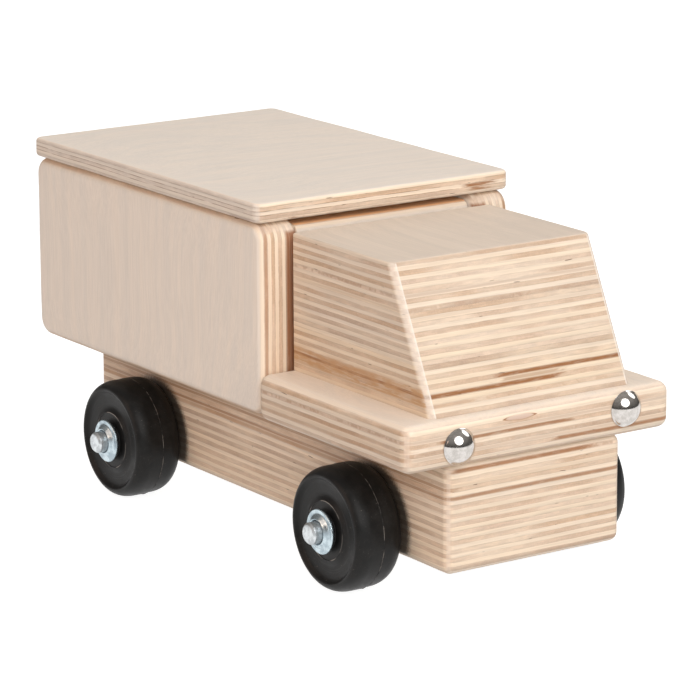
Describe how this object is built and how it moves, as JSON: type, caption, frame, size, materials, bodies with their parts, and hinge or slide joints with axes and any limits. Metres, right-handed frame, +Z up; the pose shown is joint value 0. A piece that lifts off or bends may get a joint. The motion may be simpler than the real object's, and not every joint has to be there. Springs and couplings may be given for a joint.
{
  "type": "toy dump truck",
  "caption": "Plywood toy truck: rubber wheels turn on steel rods, the box tips about a rear hinge, the tailgate swings out and the lid lifts off.",
  "frame": {"origin": "on the ground, in the middle of the whole truck's length and width", "axes": "+X forwards to the cab, +Y to the truck's left, +Z up"},
  "size_m": [0.233, 0.1186, 0.1177],
  "materials": {
    "birch_face": "sanded bare birch face veneer",
    "birch_edge": "sanded plywood edge, light and tan plies",
    "beech": "plain beech dowel",
    "rubber": "satin black moulded rubber",
    "zinc": "bright zinc plate",
    "steel": "plain drawn steel",
    "nickel": "polished nickel plate"
  },
  "bodies": {
    "chassis": {"chassis_block": "birch_edge", "fender_plate": "birch_edge", "cab_lower_board": "birch_edge", "cab_middle_board": "birch_edge", "cab_upper_board": "birch_edge", "cab_dowel_front": "beech", "cab_dowel_rear": "beech", "headlight_nail_left": "nickel", "headlight_nail_right": "nickel", "front_axle_rod": "steel", "rear_axle_rod": "steel", "push_washer_front_left": "zinc", "push_washer_front_right": "zinc", "push_washer_rear_left": "zinc", "push_washer_rear_right": "zinc", "spacer_washer_front_left": "zinc", "spacer_washer_front_right": "zinc", "spacer_washer_rear_left": "zinc", "spacer_washer_rear_right": "zinc", "hinge_leaf_chassis": "steel", "hinge_pin": "steel", "hinge_screw_chassis_left": "steel", "hinge_screw_chassis_right": "steel"},
    "wheel_front_left": {"wheel_front_left": "rubber"},
    "wheel_front_right": {"wheel_front_right": "rubber"},
    "wheel_rear_left": {"wheel_rear_left": "rubber"},
    "wheel_rear_right": {"wheel_rear_right": "rubber"},
    "tipping_box": {"box_side_left": "birch_face", "box_side_right": "birch_face", "box_front_panel": "birch_face", "box_floor": "birch_face", "hinge_leaf_box": "steel", "hinge_screw_box_left": "steel", "hinge_screw_box_right": "steel", "tailgate_pin_left": "steel", "tailgate_pin_right": "steel"},
    "tailgate": {"tailgate_panel": "birch_face"},
    "lid": {"lid_board": "birch_face", "lid_cleat_front": "birch_edge", "lid_cleat_rear": "birch_edge"}
  },
  "joints": [
    {"name": "wheel_spin_front_left", "type": "hinge", "parent": "chassis", "child": "wheel_front_left", "pos_m": [0.0694, 0.0444, 0.02045], "axis": [0, 1, 0], "continuous": true},
    {"name": "wheel_spin_front_right", "type": "hinge", "parent": "chassis", "child": "wheel_front_right", "pos_m": [0.0694, -0.0444, 0.02045], "axis": [0, 1, 0], "continuous": true},
    {"name": "wheel_spin_rear_left", "type": "hinge", "parent": "chassis", "child": "wheel_rear_left", "pos_m": [-0.0622, 0.0444, 0.02045], "axis": [0, 1, 0], "continuous": true},
    {"name": "wheel_spin_rear_right", "type": "hinge", "parent": "chassis", "child": "wheel_rear_right", "pos_m": [-0.0622, -0.0444, 0.02045], "axis": [0, 1, 0], "continuous": true},
    {"name": "box_tip", "type": "hinge", "parent": "chassis", "child": "tipping_box", "pos_m": [-0.1028, 0, 0.0467], "axis": [0, -1, 0], "range_deg": [0, 50]},
    {"name": "tailgate_swing", "type": "hinge", "parent": "tipping_box", "child": "tailgate", "pos_m": [-0.1067, 0, 0.1015], "axis": [0, 1, 0], "range_deg": [0, 90]},
    {"name": "lid_lift", "type": "slide", "parent": "tipping_box", "child": "lid", "axis": [0, 0, 1], "range_m": [0, 0.04]}
  ]
}
